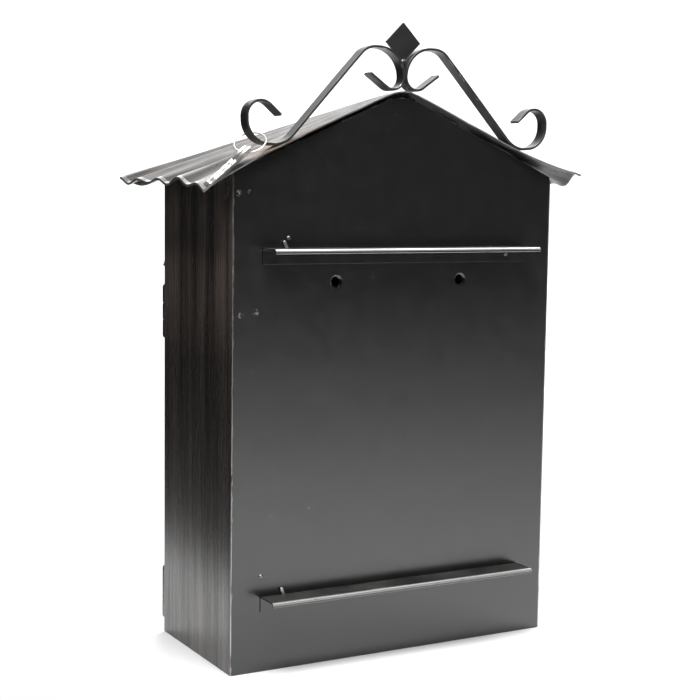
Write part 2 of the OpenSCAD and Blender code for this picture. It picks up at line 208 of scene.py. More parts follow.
def remap(tree, value, low, high, to_low=0.0, to_high=1.0):
    node = put(tree, "ShaderNodeMapRange", {
        "Value": value, "From Min": low, "From Max": high, "To Min": to_low, "To Max": to_high})
    return node, "Result"


def noise_of(tree, vector, scale, detail=2.0, rough=0.5, distortion=0.0):
    node = put(tree, "ShaderNodeTexNoise", {
        "Vector": vector, "Scale": scale, "Detail": detail, "Roughness": rough,
        "Distortion": distortion})
    return node, "Fac"


def layer(tree, name):
    """A value that the mesh carries, such as its edge mask."""
    return put(tree, "ShaderNodeAttribute", attribute_name=name), "Fac"


def blend_colour(tree, share, a, b):
    """Mixes two colours. Each is red, green and blue, or a (node, output) pair."""
    a, b = (c if isinstance(c[0], bpy.types.Node) else (*c, 1.0) for c in (a, b))
    node = put(tree, "ShaderNodeMix", {"Factor": share, "A": a, "B": b}, data_type="RGBA")
    return node, "Result"


def new_group(name, values, outs):
    """A group that takes a Vector and named values, and puts out masks or heights."""
    tree = bpy.data.node_groups.new(name, "ShaderNodeTree")
    sockets = tree.interface
    sockets.new_socket(name="Vector", in_out="INPUT", socket_type="NodeSocketVector")
    for label, value in values.items():
        socket = sockets.new_socket(name=label, in_out="INPUT", socket_type="NodeSocketFloat")
        socket.default_value = value
    for label in outs:
        sockets.new_socket(name=label, in_out="OUTPUT", socket_type="NodeSocketFloat")
    return tree, tree.nodes.new("NodeGroupInput"), tree.nodes.new("NodeGroupOutput")


def grain_group():
    """Orange peel and soft unevenness of sprayed paint."""
    tree, gin, gout = new_group(
        "Sprayed grain", {"Fine": 700.0, "Broad": 14.0}, ["Mottle", "Height"])
    vector, broad_scale = (gin, "Vector"), (gin, "Broad")
    fine = noise_of(tree, vector, (gin, "Fine"), detail=3.0, rough=0.6)
    broad = noise_of(tree, vector, broad_scale, detail=2.0, rough=0.45)
    cloud = noise_of(tree, vector, times(tree, broad_scale, 5.0), detail=4.0, rough=0.6,
                     distortion=0.4)
    mottle = plus(tree, times(tree, cloud, 0.6), times(tree, fine, 0.4))
    height = plus(tree, times(tree, fine, 0.06), broad)
    feed(tree, mottle, gout.inputs["Mottle"])
    feed(tree, height, gout.inputs["Height"])
    return tree


def streak_group():
    """Brushed streaks that run along Z."""
    tree, gin, gout = new_group(
        "Brushed streaks", {"Across": 330.0, "Along": 9.0}, ["Streaks", "Bands"])
    stretch = put(tree, "ShaderNodeCombineXYZ", {
        "X": (gin, "Across"), "Y": (gin, "Across"), "Z": (gin, "Along")})
    scaled = put(tree, "ShaderNodeVectorMath", {0: (gin, "Vector"), 1: (stretch, 0)},
                 operation="MULTIPLY")
    fine = noise_of(tree, (scaled, 0), 1.0, detail=4.0, rough=0.65, distortion=0.8)
    wide = noise_of(tree, (scaled, 0), 0.19, detail=4.0, rough=0.6, distortion=0.5)
    feed(tree, fine, gout.inputs["Streaks"])
    feed(tree, wide, gout.inputs["Bands"])
    return tree


def wear_group():
    """Where paint is rubbed off: the mesh's edge mask, broken up by noise."""
    tree, gin, gout = new_group("Edge wear", {"Scale": 60.0, "Amount": 0.5}, ["Mask"])
    patch = noise_of(tree, (gin, "Vector"), (gin, "Scale"), detail=4.0, rough=0.7)
    level = plus(tree, patch, calc(tree, "SUBTRACT", (gin, "Amount"), 0.5))
    mask = times(tree, remap(tree, level, 0.44, 0.58), layer(tree, "edge"), True)
    feed(tree, mask, gout.inputs["Mask"])
    return tree


def scuff_group():
    """Short light scratches and small rubbed specks."""
    tree, gin, gout = new_group("Scuffs", {"Scale": 40.0, "Amount": 0.5}, ["Mask"])
    vector, scale = (gin, "Vector"), (gin, "Scale")
    turn = put(tree, "ShaderNodeMapping", {
        "Vector": vector, "Rotation": (0.5, 0.9, 0.6), "Scale": (0.35, 5.0, 1.6)})
    lines = noise_of(tree, (turn, 0), scale, detail=2.0, rough=0.5, distortion=0.8)
    specks = noise_of(tree, vector, times(tree, scale, 4.0), detail=3.0, rough=0.6)
    where = noise_of(tree, vector, times(tree, scale, 0.5), detail=2.0, rough=0.5)
    both = calc(tree, "MAXIMUM", remap(tree, lines, 0.70, 0.76), remap(tree, specks, 0.72, 0.78))
    gate = remap(tree, plus(tree, where, times(tree, (gin, "Amount"), 0.3)), 0.60, 0.72)
    feed(tree, times(tree, both, gate, True), gout.inputs["Mask"])
    return tree


def dust_group():
    """Pale dust that settles on faces that look up."""
    tree, gin, gout = new_group("Settled dust", {"Scale": 30.0, "Amount": 0.3}, ["Mask"])
    normal = put(tree, "ShaderNodeNewGeometry")
    up = put(tree, "ShaderNodeSeparateXYZ", {0: (normal, "Normal")})
    facing = remap(tree, (up, "Z"), 0.35, 1.0)
    cloud = noise_of(tree, (gin, "Vector"), (gin, "Scale"), detail=5.0, rough=0.65)
    patchy = times(tree, facing, remap(tree, cloud, 0.35, 0.75))
    feed(tree, times(tree, patchy, (gin, "Amount"), True), gout.inputs["Mask"])
    return tree


GROUP_MAKERS = {
    "grain": grain_group, "streaks": streak_group, "wear": wear_group,
    "scuffs": scuff_group, "dust": dust_group,
}
groups = {}


def use(tree, name, **values):
    """Places a shared group in a material, with its own values."""
    if name not in groups:
        groups[name] = GROUP_MAKERS[name]()
    return put(tree, "ShaderNodeGroup", values, node_tree=groups[name])


def start_material(name):
    material = bpy.data.materials.new(name)
    material.use_nodes = True
    tree = material.node_tree
    place = put(tree, "ShaderNodeTexCoord")
    return material, tree, tree.nodes["Principled BSDF"], (place, "Object")


def relief(tree, shader, height, strength, distance):
    bump = put(tree, "ShaderNodeBump", {
        "Height": height, "Strength": strength, "Distance": distance})
    feed(tree, (bump, 0), shader.inputs["Normal"])


# ---- finishes ---------------------------------------------------------------------------


def worn_paint(name, base, gloss, peel, wear, scuff, dust=0.0, specular=0.5,
               wobble=0.0006, ior=1.5, stain=None, spots=(), bare_tone=None):
    """Sprayed paint over steel, worn at its edges.

    gloss is the roughness range, peel the fineness of the orange peel, and wobble the depth
    of the sheet's unevenness. stain colours what the mesh's stain layer marks, and spots are
    the centres and radii of rubbed places.
    """
    material, tree, shader, vector = start_material(name)
    grain = use(tree, "grain", Vector=vector, Fine=peel)
    worn = (use(tree, "wear", Vector=vector, Amount=wear), "Mask")
    marks = (use(tree, "scuffs", Vector=vector, Amount=scuff), "Mask")
    mottle = (grain, "Mottle")
    lighter = tuple(min(1.0, c * 1.7 + 0.002) for c in base)
    tone = blend_colour(tree, mottle, base, lighter)
    tone = blend_colour(tree, times(tree, marks, 0.5), tone, SCUFFED_BLACK)
    tone = blend_colour(tree, worn, tone, bare_tone or colours().bare_steel)
    if spots:
        tone = blend_colour(tree, spot_mask(tree, vector, spots), tone, SPOT_ON_BLACK)
    if stain:
        rubbed = remap(tree, layer(tree, "rubbing"), 0.50, 0.80, 0.0, 0.5)
        tone = blend_colour(tree, rubbed, tone, RUBBED_ENAMEL)
        # a beige tone laid, broken up by noise, where the mesh's layer marks the patch
        cloud = noise_of(tree, vector, 55.0, detail=3.0, rough=0.6)
        share = times(tree, layer(tree, "stain"), remap(tree, cloud, 0.3, 0.6), True)
        tone = blend_colour(tree, share, tone, stain)
    if dust:
        settled = use(tree, "dust", Vector=vector, Amount=dust)
        tone = blend_colour(tree, (settled, "Mask"), tone, DUST)
    feed(tree, tone, shader.inputs["Base Color"])
    rough = plus(tree, remap(tree, mottle, 0.3, 0.7, *gloss), times(tree, marks, 0.2), True)
    feed(tree, rough, shader.inputs["Roughness"])
    feed(tree, worn, shader.inputs["Metallic"])
    shader.inputs["IOR"].default_value = ior
    shader.inputs["Specular IOR Level"].default_value = specular
    relief(tree, shader, (grain, "Height"), 0.6, wobble)
    return material


def spot_mask(tree, vector, spots):
    """Ragged rubbed spots round given points of the piece."""
    total = None
    for centre, radius in spots:
        away = put(tree, "ShaderNodeVectorMath", {0: vector, 1: centre}, operation="DISTANCE")
        near = remap(tree, (away, "Value"), radius, radius * 0.3)
        total = near if total is None else calc(tree, "MAXIMUM", total, near)
    rag = noise_of(tree, vector, 420.0, detail=3.0, rough=0.6, distortion=0.6)
    return times(tree, total, remap(tree, rag, 0.46, 0.58), True)


def brushed_paint(name, dark, light):
    """Thin satin paint over brushed sheet: upright streaks, a pale band of painted highlight,
    rubbed corners.
    """
    material, tree, shader, vector = start_material(name)
    streaks = use(tree, "streaks", Vector=vector)
    grain = use(tree, "grain", Vector=vector, Fine=900.0, Broad=9.0)
    worn = (use(tree, "wear", Vector=vector, Amount=0.62, Scale=45.0), "Mask")
    marks = (use(tree, "scuffs", Vector=vector, Amount=0.3, Scale=26.0), "Mask")
    fine, bands = (streaks, "Streaks"), (streaks, "Bands")
    level = plus(tree, times(tree, fine, 0.55), times(tree, bands, 0.65))
    share = remap(tree, level, 0.50, 0.72)
    tone = blend_colour(tree, share, dark, light)
    cloud = remap(tree, (grain, "Mottle"), 0.35, 0.75, 0.0, 0.5)
    tone = blend_colour(tree, cloud, tone, tuple(c * 0.6 for c in dark))
    # painted highlight: a pale band under the eaves, stronger on the light streaks, stands in for
    # the light and reflection that the upper panels show
    height = (put(tree, "ShaderNodeSeparateXYZ", {0: vector}), "Z")
    painted_highlight = times(tree, remap(tree, height, -0.06, 0.04), remap(tree, height, 0.085, 0.05))
    painted_highlight = times(tree, painted_highlight, remap(tree, bands, 0.38, 0.62, 0.15, 0.9))
    tone = blend_colour(tree, painted_highlight, tone, PAINTED_HIGHLIGHT_BROWN)
    # and it is rubbed near the upper rear corner
    spots = [(at(HALF, -7, 356), 0.005), (at(HALF, -12, 352), 0.003)]
    tone = blend_colour(tree, spot_mask(tree, vector, spots), tone, SPOT_ON_BROWN)
    tone = blend_colour(tree, times(tree, marks, 0.35), tone, SCUFFED_BROWN)
    tone = blend_colour(tree, worn, tone, colours().bare_steel)
    feed(tree, tone, shader.inputs["Base Color"])
    feed(tree, remap(tree, fine, 0.3, 0.7, 0.31, 0.22), shader.inputs["Roughness"])
    feed(tree, worn, shader.inputs["Metallic"])
    # the light streaks are glossier: a faint hard coat over the satin paint
    feed(tree, remap(tree, share, 0.0, 1.0, 0.0, 0.195), shader.inputs["Coat Weight"])
    shader.inputs["Coat IOR"].default_value = 3.0
    shader.inputs["Coat Roughness"].default_value = 0.26
    shader.inputs["Specular IOR Level"].default_value = 0.45
    relief(tree, shader, plus(tree, (grain, "Height"), times(tree, fine, 0.05)), 0.6, 0.0006)
    return material


def plated(name, colour, gloss, scratch, metal=1.0):
    """Plated metal with fine polishing lines and a soft stain."""
    material, tree, shader, vector = start_material(name)
    grain = use(tree, "grain", Vector=vector, Fine=1400.0, Broad=60.0)
    lines = (use(tree, "streaks", Vector=vector, Across=2200.0, Along=260.0), "Streaks")
    marks = (use(tree, "scuffs", Vector=vector, Amount=0.6, Scale=120.0), "Mask")
    dull = tuple(c * 0.72 for c in colour)
    stained = tuple(c * 0.35 for c in colour)
    tone = blend_colour(tree, remap(tree, (grain, "Mottle"), 0.35, 0.7), colour, dull)
    tone = blend_colour(tree, times(tree, marks, 0.4), tone, stained)
    feed(tree, tone, shader.inputs["Base Color"])
    shader.inputs["Metallic"].default_value = metal
    feed(tree, remap(tree, lines, 0.3, 0.7, *gloss), shader.inputs["Roughness"])
    relief(tree, shader, lines, scratch, 0.00008)
    return material


finishes = {}


def finish_of(finish):
    """The material of a slot, or a variant of one for certain pieces, made on first use."""
    if finish in finishes:
        return finishes[finish]
    c = colours()
    panel_spots = [
        (at(135, 0, 355), 0.0028), (at(127, 0, 356), 0.002), (at(76, 0, 120), 0.0015),
        (at(133, 0, 267), 0.0025), (at(121, 0, 269), 0.003)]
    makers = {
        "satin_black": lambda: worn_paint(
            "Satin black powder coat", c.satin_black, gloss=(0.22, 0.30), peel=900.0,
            wear=0.40, scuff=0.12, ior=1.85),
        "panel_black": lambda: worn_paint(
            "Panel powder coat", c.satin_black, gloss=(0.20, 0.28), peel=900.0, wear=0.40,
            scuff=0.0, specular=0.41, ior=1.85, spots=panel_spots),
        "rail_black": lambda: worn_paint(
            "Rubbed rail paint with painted highlight", c.satin_black, gloss=(0.30, 0.40), peel=900.0, wear=0.66,
            scuff=0.5, dust=0.12, ior=1.85, bare_tone=WORN_RAIL_EDGE_AND_HIGHLIGHT),
        "brushed_brown": lambda: brushed_paint(
            "Brushed brown paint", c.brushed_dark, c.brushed_light),
        "roof_gloss": lambda: worn_paint(
            "Glossy roof enamel", c.roof_enamel, gloss=(0.24, 0.46), peel=420.0, wear=0.68,
            scuff=0.95, dust=0.03, specular=0.28, wobble=0.0030, stain=BEIGE_ON_ENAMEL,
            bare_tone=WORN_ROOF_EDGE_AND_HIGHLIGHT),
        "black_iron": lambda: worn_paint(
            "Black iron paint", c.black_iron, gloss=(0.26, 0.40), peel=1100.0, wear=0.36,
            scuff=0.35, specular=0.7, wobble=0.0004),
        "zinc_steel": lambda: plated("Zinc plate", c.zinc, gloss=(0.30, 0.48), scratch=0.5),
        "nickel": lambda: plated(
            "Nickel plate", c.nickel, gloss=(0.26, 0.42), scratch=0.35, metal=0.78),
    }
    finishes[finish] = makers[finish]()
    return finishes[finish]


# ---- mesh helpers -----------------------------------------------------------------------


def fresh():
    bm = bmesh.new()
    bm.faces.layers.float.new("edge")
    return bm


def soften(bm, width, angle=32.0, segments=2):
    """Rounds the sharp edges and marks the new faces for the wear mask."""
    if "edge" not in bm.faces.layers.float:
        bm.faces.layers.float.new("edge")
    mark = bm.faces.layers.float["edge"]
    sharp = [e for e in bm.edges if len(e.link_faces) == 2
             and abs(e.calc_face_angle(0.0)) > math.radians(angle)]
    if sharp:
        made = bmesh.ops.bevel(
            bm, geom=sharp, offset=width, offset_type="OFFSET", segments=segments, profile=0.5,
            affect="EDGES", clamp_overlap=True)
        for face in made["faces"]:
            face[mark] = 1.0


def plate(bm, outer, holes, place, thickness):
    """A flat plate. outer and holes are closed 2D outlines, and place(u, v, w) puts a point."""
    edges = []
    for line in [outer] + list(holes):
        verts = [bm.verts.new(place(u, v, 0.0)) for u, v in line]
        edges += [bm.edges.new((verts[i], verts[(i + 1) % len(verts)]))
                  for i in range(len(verts))]
    made = bmesh.ops.triangle_fill(bm, use_beauty=True, use_dissolve=False, edges=edges)
    faces = [g for g in made["geom"] if isinstance(g, bmesh.types.BMFace)]
    step = place(0.0, 0.0, thickness) - place(0.0, 0.0, 0.0)
    grown = bmesh.ops.extrude_face_region(bm, geom=faces, use_keep_orig=True)
    moved = [g for g in grown["geom"] if isinstance(g, bmesh.types.BMVert)]
    bmesh.ops.translate(bm, verts=moved, vec=step)
    bmesh.ops.recalc_face_normals(bm, faces=bm.faces)
    bmesh.ops.dissolve_limit(bm, angle_limit=math.radians(0.5), verts=bm.verts, edges=bm.edges)


def circle_points(cx, cy, r, n, start=0.0, end=360.0, closed=True):
    steps = n if closed else n - 1
    return [(cx + r * math.cos(math.radians(start + (end - start) * i / steps)),
             cy + r * math.sin(math.radians(start + (end - start) * i / steps)))
            for i in range(n)]


def strip(line, thickness):
    """The closed outline of a bent strip of even thickness along a 2D line."""
    left, right = [], []
    for i, (x, y) in enumerate(line):
        ax, ay = line[max(i - 1, 0)]
        bx, by = line[min(i + 1, len(line) - 1)]
        d = math.hypot(bx - ax, by - ay)
        nx, ny = -(by - ay) / d, (bx - ax) / d
        left.append((x + nx * thickness / 2, y + ny * thickness / 2))
        right.append((x - nx * thickness / 2, y - ny * thickness / 2))
    return left + right[::-1]


def settle(name, bm, slot, body, nodes=(), smooth_angle=40.0, paint=None):
    """Turns a bmesh into a piece: shaded, painted, riding on its body.

    paint is the finish where it is another than the slot's own.
    """
    mesh = bpy.data.meshes.new(name)
    bmesh.ops.recalc_face_normals(bm, faces=bm.faces)
    for face in bm.faces:
        face.smooth = True
    for edge in bm.edges:
        if len(edge.link_faces) == 2:
            edge.smooth = abs(edge.calc_face_angle(0.0)) < math.radians(smooth_angle)
    bm.to_mesh(mesh)
    bm.free()
    if "custom_normal" in mesh.attributes:
        mesh.attributes.remove(mesh.attributes["custom_normal"])
    while mesh.uv_layers:
        mesh.uv_layers.remove(mesh.uv_layers[0])
    mesh.materials.append(finish_of(paint or slot))
    for polygon in mesh.polygons:
        polygon.material_index = 0
    piece = bpy.data.objects.new(name, mesh)
    bpy.context.scene.collection.objects.link(piece)
    even = piece.modifiers.new("Even normals", "WEIGHTED_NORMAL")
    even.keep_sharp = True
    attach(piece, body)
    if nodes:
        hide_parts(*nodes)
    return piece


def from_frame(node, width):
    """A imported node's own shape, cleaned of its triangles and with its edges rounded."""
    bm = bmesh.new()
    bm.from_mesh(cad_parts[node].data)
    bmesh.ops.remove_doubles(bm, verts=bm.verts, dist=2e-6)
    bmesh.ops.dissolve_limit(bm, angle_limit=math.radians(1.0), verts=bm.verts, edges=bm.edges)
    soften(bm, width)
    return bm


def dress(node, slot, body, width=None):
    """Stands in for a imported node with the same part, its edges rounded."""
    bm = from_frame(node, sizes().fold if width is None else width)
    return settle(node + "_part", bm, slot, body, [node])


# ---- pieces -----------------------------------------------------------------------------


def build_back_panel():
    def place(u, v, w):
        return at(u, -w / MM, v)

    inner = HALF - SHEET
    eaves = GABLE_Z - (inner - GABLE_HALF) * GABLE_SLOPE
    outline = [(-inner, 0), (inner, 0), (inner, eaves), (GABLE_HALF + 6, GABLE_Z - 2.9),
               (GABLE_HALF - 1, GABLE_Z - 0.5), (0, GABLE_Z), (1 - GABLE_HALF, GABLE_Z - 0.5),
               (-GABLE_HALF - 6, GABLE_Z - 2.9), (-inner, eaves)]
    bm = fresh()
    around, dimple_r = 40, 4.9
    rings = [circle_points(s * HOLE_X, HOLE_Z, dimple_r, around) for s in (-1, 1)]
    plate(bm, outline, rings, place, SHEET * MM)
    soften(bm, sizes().fold, 60.0)
    mark = bm.faces.layers.float["edge"]
    for face in bm.faces:
        middle = face.calc_center_median()
        if face[mark] and middle.x > 4 * MM and middle.z > at(0, 0, 365).z:
            face[mark] = 6.0  # painted highlight: the sloping edge on the hinge side is worn almost bare, so that it shows as a bright line in the roof's shade
    # the pressed dimples: from the flat sheet down to the hole, then back to the inside
    profile = [(4.95, 0.0), (4.6, -0.12), (3.9, -0.75), (3.45, -1.15), (3.25, -1.6),
               (3.5, -1.75), (4.1, -1.3), (dimple_r, -0.95)]
    for s in (-1, 1):
        loops = [[bm.verts.new(at(x, y, z))
                  for x, z in circle_points(s * HOLE_X, HOLE_Z, r, around)]
                 for r, y in profile]
        for a, b in zip(loops, loops[1:]):
            for i in range(around):
                j = (i + 1) % around
                face = bm.faces.new((a[i], a[j], b[j], b[i]))
                face[mark] = 1.0 if b is loops[1] or b is loops[2] else 0.0
    settle("back_panel_skin", bm, "satin_black", "box", ["back_panel"], paint="panel_black")
    # the folded flanges that the side panels are welded to
    flanges = fresh()
    reach, foot, head = -13.0, 2.0, 360.0
    line = [(-SHEET, foot), (reach, foot), (reach, head), (-SHEET, head)]
    for s in (-1, 1):
        x = s * (inner - SHEET)
        plate(flanges, line, [], lambda u, v, w, x=x, s=s: at(x + s * w / MM, u, v), SHEET * MM)
    soften(flanges, sizes().fold * 0.7)
    settle("back_panel_flanges", flanges, "satin_black", "box")


def build_roof():
    """A fan of flutes that runs down from the apex to three eaves.

    Each column is a ray from the apex to a point of the eaves, and holds that point, the
    flute's phase there, and how far the two rear corners sag or kick up.
    """
    roof_x, roof_y, rear_y = 168.0, 152.0, 12.0
    crown, peak, eave, peak_blunt = 436.5, 433.0, 363.5, 3.5 / 73.0
    apex_x, apex_y, crest_y = -4.0, -3.0, 3.0
    side_flutes, front_flutes = 4.0, 9
    side_steps, front_steps = 68, 144
    wave, sag, kick = 2.6, 7.0, 9.5
    hem_from = 0.984
    pitch = (roof_y + crest_y) / side_flutes

    def fold(d, reach):
        return math.exp(-((d / reach) ** 2))

    def side_wave(y):
        return math.cos(2 * math.pi * (y - crest_y) / pitch)

    columns = []
    side = [rear_y - (rear_y + roof_y) * i / side_steps for i in range(side_steps)]
    for y in side:
        calm = 1.0 - 0.55 * fold(y + 100.0, 32.0)  # flatter flutes towards the front tip
        columns.append((roof_x, y, calm * side_wave(y), fold(rear_y - y, 16), 0.0))
    for i in range(front_steps + 1):
        columns.append((roof_x - 2 * roof_x * i / front_steps, -roof_y,
                        math.cos(2 * math.pi * front_flutes * i / front_steps), 0.0, 0.0))
    for y in side[::-1]:
        columns.append((-roof_x + 7 * fold(rear_y - y, 20), y, side_wave(y), 0.0,
                        fold(rear_y - y, 34)))

    def surface(c, t):
        x = apex_x + (c[0] - apex_x) * t
        y = apex_y + (c[1] - apex_y) * t
        z = (crown - (crown - eave) * math.sqrt(t * t + peak_blunt ** 2)
             + wave * t ** 3.0 * c[2] - sag * c[3] * t ** 4 + kick * c[4] * t ** 5)
        z += sizes().dents / MM * t * (1 - t ** 6) * noise.noise(Vector((x, y, 0)) * 0.045)
        return x, y, z

    rows = [j / 30 for j in range(1, 30)] + [0.985, 0.993, 1.0]
    bm = fresh()
    mark = bm.faces.layers.float["edge"]
    stain = bm.verts.layers.float.new("stain")
    rubbing = bm.verts.layers.float.new("rubbing")

    def grid(drop):
        top = bm.verts.new(at(apex_x, apex_y, peak - drop(0.0)))
        lines = []
        for t in rows:
            lines.append([])
            for i, c in enumerate(columns):
                x, y, z = surface(c, t)
                vert = bm.verts.new(at(x, y, z - drop(t)))
                # where the beige patch lies: near the rear edge, round x 104 mm
                vert[stain] = math.exp(-((x - 104) / 26) ** 2 - ((y + 4) / 15) ** 2)
                drag = noise.noise(Vector((i * 0.23, t * 3.5, 7.0)))
                drag += 0.6 * noise.noise(Vector((i * 0.9, t * 9.0, 3.0)))
                vert[rubbing] = 0.5 + 0.45 * drag + 0.10 * max(0.0, c[2])
                lines[-1].append(vert)
        return top, lines

    def thick(t):
        return SHEET if t < hem_from else sizes().hem / MM

    top_peak, top = grid(lambda t: 0.0)
    low_peak, low = grid(thick)
    n = len(columns)
    for i in range(n - 1):
        bm.faces.new((top_peak, top[0][i + 1], top[0][i]))
        bm.faces.new((low_peak, low[0][i], low[0][i + 1]))
    for j in range(len(rows) - 1):
        near_rim = rows[j + 1] > 0.99
        for i in range(n - 1):
            face = bm.faces.new((top[j][i], top[j][i + 1], top[j + 1][i + 1], top[j + 1][i]))
            crest = max(0.0, columns[i][2]) ** 3
            face[mark] = 1.0 if near_rim else 0.55 * crest * max(0.0, (rows[j] - 0.8) / 0.2)
            bm.faces.new((low[j + 1][i], low[j + 1][i + 1], low[j][i + 1], low[j][i]))
    rim = [(top_peak, low_peak)]
    rim += [(top[j][0], low[j][0]) for j in range(len(rows))]
    rim += [(top[-1][i], low[-1][i]) for i in range(1, n)]
    rim += [(top[j][-1], low[j][-1]) for j in range(len(rows) - 2, -1, -1)]
    # partly painted highlight: the rim is marked worn all round, and its near-white bare tone
    # paints the bright line the hem catches
    for k, (a, b) in enumerate(rim):
        c, d = rim[(k + 1) % len(rim)]
        face = bm.faces.new((a, c, d, b))
        face[mark] = 1.0
    settle("roof_skin", bm, "roof_gloss", "box", ["roof"], smooth_angle=50.0)


def arc(cx, cz, r, start, end, n):
    return [(cx + r * math.cos(math.radians(start + (end - start) * i / n)),
             cz + r * math.sin(math.radians(start + (end - start) * i / n)))
            for i in range(n + 1)]


def scroll_line():
    """Middle line of a scroll's bar, from its outer tip to its inner tip."""
    return ([(103.7, 411.9), (108.0, 415.6)] + arc(119.5, 411, 11, 131, 0, 26)
            + arc(113, 408.7, 17.5, 0, -90, 26) + arc(110.2, 412.9, 22, -92, -136.5, 12)
            + [(84.9, 407.85), (66.0, 428.3), (48.0, 447.7)] + arc(25.5, 448.2, 16, 42.8, 88, 12)
            + arc(22.6, 442.6, 21.6, 92, 180, 28) + arc(10.4, 442.6, 9.4, 184, 305, 24)
            + [(22.7, 439.7), (29.6, 444.5)])


def build_scroll(name, side, node):
    """Sweeps the bar along the scroll's line. side is 1, or -1 for the mirrored scroll."""
    line = scroll_line()
    lean, lean_z, lean_x = math.radians(0.5), 440, 0.8
    half_w, half_t, r = sizes().bar_width / 2 / MM, sizes().bar_thickness / 2 / MM, 0.45
    section = []
    for su, sv, a in ((1, 1, 0), (-1, 1, 90), (-1, -1, 180), (1, -1, 270)):
        for k in range(4):
            b = math.radians(a + 30 * k)
            section.append((su * (half_t - r) + r * math.cos(b),
                            sv * (half_w - r) + r * math.sin(b)))
    bm = fresh()
    mark = bm.faces.layers.float["edge"]
    loops = []
    for i, (x, z) in enumerate(line):
        ax, az = line[max(i - 1, 0)]
        bx, bz = line[min(i + 1, len(line) - 1)]
        d = math.hypot(bx - ax, bz - az)
        nx, nz = -(bz - az) / d, (bx - ax) / d
        loop = []
        for u, v in section:
            px, pz = side * (x + nx * u), z + nz * u
            qx = px * math.cos(lean) + (pz - lean_z) * math.sin(lean) + lean_x
            qz = -px * math.sin(lean) + (pz - lean_z) * math.cos(lean) + lean_z
            loop.append(bm.verts.new(at(qx, v, qz)))
        loops.append(loop)
    m = len(section)
    for a, b in zip(loops, loops[1:]):
        for k in range(m):
            face = bm.faces.new((a[k], a[(k + 1) % m], b[(k + 1) % m], b[k]))
            face[mark] = 0.0 if k % 4 == 3 else 1.0
    for end in (loops[0], loops[-1][::-1]):
        face = bm.faces.new(end)
        face[mark] = 1.0
    settle(name, bm, "black_iron", "box", [node], smooth_angle=60.0)


def build_diamond():
    bm = fresh()
    r, z, thickness, nip = 15.0, 468.5, 2.2, 0.03
    corners = [(0, r), (r, 0), (0, -r), (-r, 0)]
    outline = []
    for i, (x, y) in enumerate(corners):
        px, py = corners[i - 1]
        nx, ny = corners[(i + 1) % 4]
        outline += [(x + (px - x) * nip, y + (py - y) * nip),
                    (x, y) if i % 2 else (x, y * 0.985),
                    (x + (nx - x) * nip, y + (ny - y) * nip)]
    plate(bm, outline, [], lambda u, v, w: at(u, w / MM - thickness, z + v), thickness * MM)
    soften(bm, MEDIUM_EDGE, 20.0)
    settle("finial_plate", bm, "black_iron", "box", ["finial_diamond"])
    dress("finial_rivet", "black_iron", "box", SMALL_EDGE)


def build_rail(name, node, z, rub):
    """A shelf rail whose top is at z. rub is how bare its front edge is worn, which also sets how
    bright the painted highlight along it is.
    """
    half, depth, lip, flange, r = 116.0, 22.0, 3.5, 12.0, 1.0
    h = SHEET / 2
    line = ([(h, z - flange), (h, z - 6)] + arc(h + r, z - h - r, r, 180, 90, 6)
            + [(8, z - h - 0.02)] + arc(depth - h - 1.6, z - h - 1.6, 1.6, 90, 0, 8)
            + [(depth - h, z - lip)])
    bm = fresh()
    plate(bm, strip(line, SHEET), [], lambda u, v, w: at(w / MM - half, u, v), 2 * half * MM)
    soften(bm, SMALL_EDGE, 45.0)
    mark = bm.faces.layers.float["edge"]
    for face in bm.faces:
        # partly painted highlight: the front fold and the lip's lower edge are marked worn by
        # rub, and their near-white bare tone paints the bright line along the front
        middle = face.calc_center_median() / MM
        rubbed = middle.y > depth - 2.2 and abs(face.normal.y) > 0.02 and abs(middle.x) < half - 1
        upper = middle.z + HOLE_Z > z - 1.9
        lower = middle.z + HOLE_Z < z - lip + 0.3
        face[mark] = rub if rubbed and (upper or lower) else 0.0
    # the small ear bent up from the shelf's rear corner
    lean, ear_x = math.radians(25), 96
    ear = [(0, 0), (2.2, 0), (2.2, 5.6), (1.6, 6.5), (0.4, 6.5), (0, 5.9)]
    turned = [(ear_x + u * math.cos(lean) + v * math.sin(lean),
               z - 0.2 - u * math.sin(lean) + v * math.cos(lean)) for u, v in ear]
    ear_bm = fresh()
    plate(ear_bm, turned, [], lambda u, v, w: at(u, 1.5 + w / MM, v), SHEET * MM)
    soften(ear_bm, SMALL_EDGE)
    # painted highlight: every face of the ear is marked worn bare, so that it shows bright as if
    # lit
    ear_mark = ear_bm.faces.layers.float["edge"]
    for face in ear_bm.faces:
        face[ear_mark] = 1.0
    piece = settle(name, bm, "satin_black", "box", [node], paint="rail_black")
    # the flange against the panel keeps the panel's own coat
    piece.data.materials.append(finish_of("panel_black"))
    for polygon in piece.data.polygons:
        if polygon.center.y < 1.3 * MM:
            polygon.material_index = 1
    settle(name + "_ear", ear_bm, "satin_black", "box", paint="rail_black")


def set_on(origin, along, facing):
    """A matrix that lays a flat part at origin, X along it and Z out of its face."""
    x = Vector(along).normalized()
    y = Vector(facing).cross(x).normalized()
    z = x.cross(y)
    return Matrix.Translation(origin) @ Matrix((x, y, z)).transposed().to_4x4()


